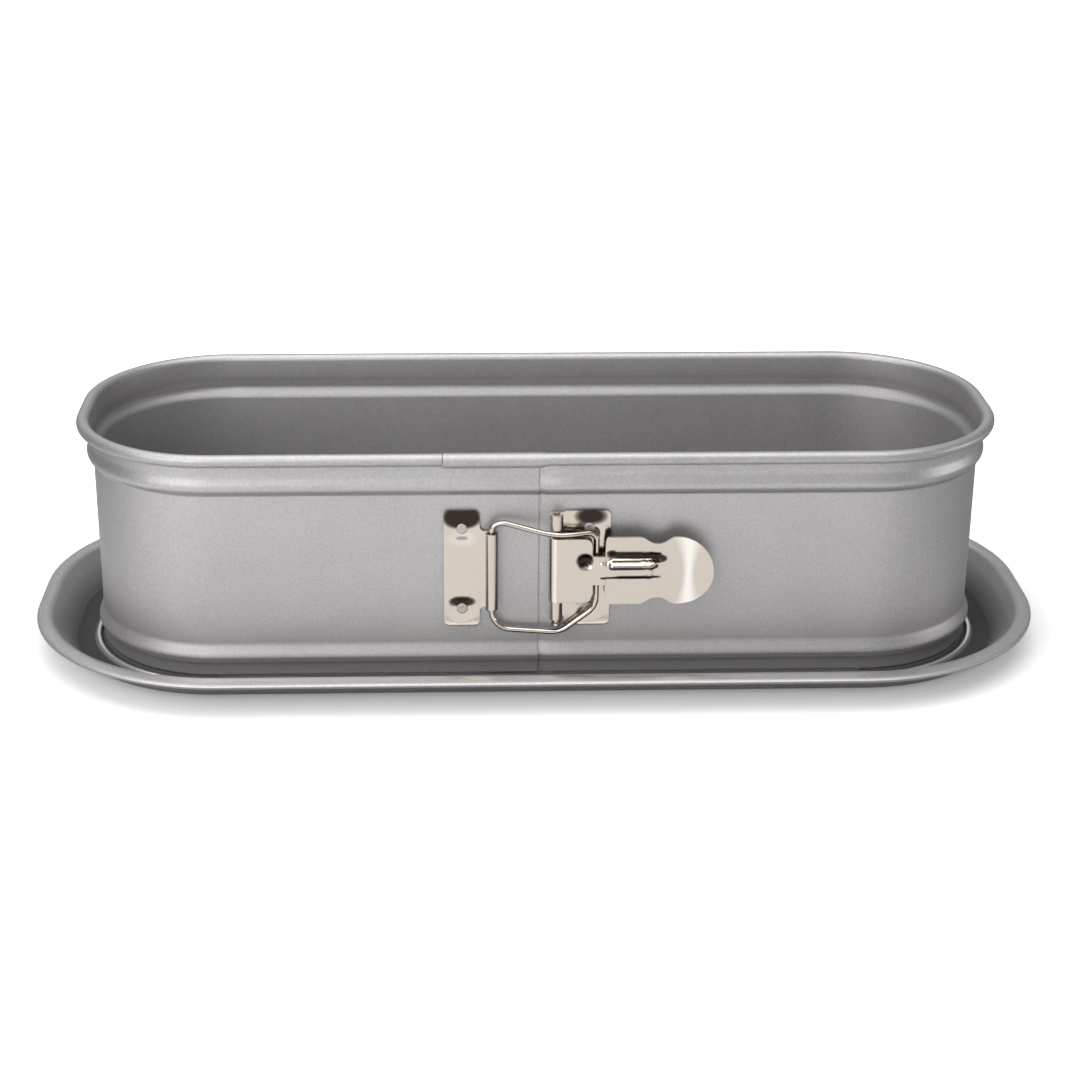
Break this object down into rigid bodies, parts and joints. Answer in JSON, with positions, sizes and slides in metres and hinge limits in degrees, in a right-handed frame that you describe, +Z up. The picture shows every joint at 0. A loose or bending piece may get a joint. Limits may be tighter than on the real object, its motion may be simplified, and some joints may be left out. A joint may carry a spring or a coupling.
{
  "type": "springform loaf pan",
  "caption": "Long springform loaf pan: raised base tray with flared drip lip, rolled-rim spring band and a wire toggle latch on the front.",
  "frame": {"origin": "on the ground under the middle of the base tray", "axes": "+X along the pan's length, -Y towards the latch, +Z up"},
  "size_m": [0.3414, 0.1534, 0.0808],
  "materials": {
    "coated_steel": "silver-grey non-stick coating, satin",
    "nickel_steel": "bright nickel plate, slightly warm",
    "rivet_aluminium": "matt"
  },
  "bodies": {
    "base": {"base_tray": "coated_steel"},
    "ring_right": {"band_right": "coated_steel", "hinge_plate": "nickel_steel", "hinge_rivet_upper": "rivet_aluminium", "hinge_rivet_lower": "rivet_aluminium", "pivot_pin": "nickel_steel"},
    "ring_left": {"band_left": "coated_steel", "catch_plate": "nickel_steel", "catch_rivet_upper": "rivet_aluminium", "catch_rivet_lower": "rivet_aluminium"},
    "lever": {"lever": "nickel_steel"},
    "bail": {"bail_wire": "nickel_steel"}
  },
  "joints": [
    {"name": "ring_lift", "type": "slide", "parent": "base", "child": "ring_right", "axis": [0, 0, 1], "range_m": [0, 0.1]},
    {"name": "lever_swing", "type": "hinge", "parent": "ring_right", "child": "lever", "pos_m": [0.0045, -0.0525, 0.0403], "axis": [0, 0, -1], "range_deg": [0, 90]},
    {"name": "band_spread", "type": "slide", "parent": "ring_right", "child": "ring_left", "axis": [-1, 0, 0], "range_m": [0, 0.01041]},
    {"name": "bail_swing", "type": "hinge", "parent": "ring_left", "child": "bail", "pos_m": [-0.0164, -0.0525, 0.0403], "axis": [0, 0, -1], "range_deg": [0, 22.56]}
  ],
  "couplings": [
    {"joint": "band_spread", "follows": "lever_swing", "m_per_rad": 0.006626},
    {"joint": "bail_swing", "follows": "lever_swing", "ratio": 0.25055}
  ]
}
